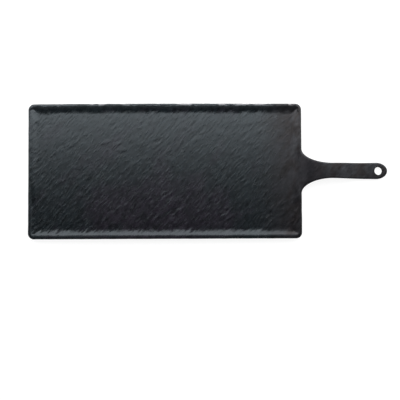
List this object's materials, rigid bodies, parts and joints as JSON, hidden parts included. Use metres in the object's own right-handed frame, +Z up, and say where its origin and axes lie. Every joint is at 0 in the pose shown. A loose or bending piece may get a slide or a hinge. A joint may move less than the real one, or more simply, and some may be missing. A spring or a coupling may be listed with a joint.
{
  "type": "serving tray",
  "caption": "Long slate-look melamine serving tray with a shallow sloped well, a gentle arch, a swan-neck handle with a hanging hole, and push-in silicone feet.",
  "frame": {"origin": "on the table, under the middle of the overall length and width", "axes": "+X along the handle towards its hanging hole, +Y to the back long edge, +Z up"},
  "size_m": [0.53, 0.199, 0.0206],
  "materials": {
    "melamine": "satin, slate texture",
    "silicone": "matt"
  },
  "bodies": {
    "root": {"tray_body": "melamine", "foot_front_left": "silicone", "foot_front_right": "silicone", "foot_back_left": "silicone", "foot_back_right": "silicone"}
  },
  "joints": []
}
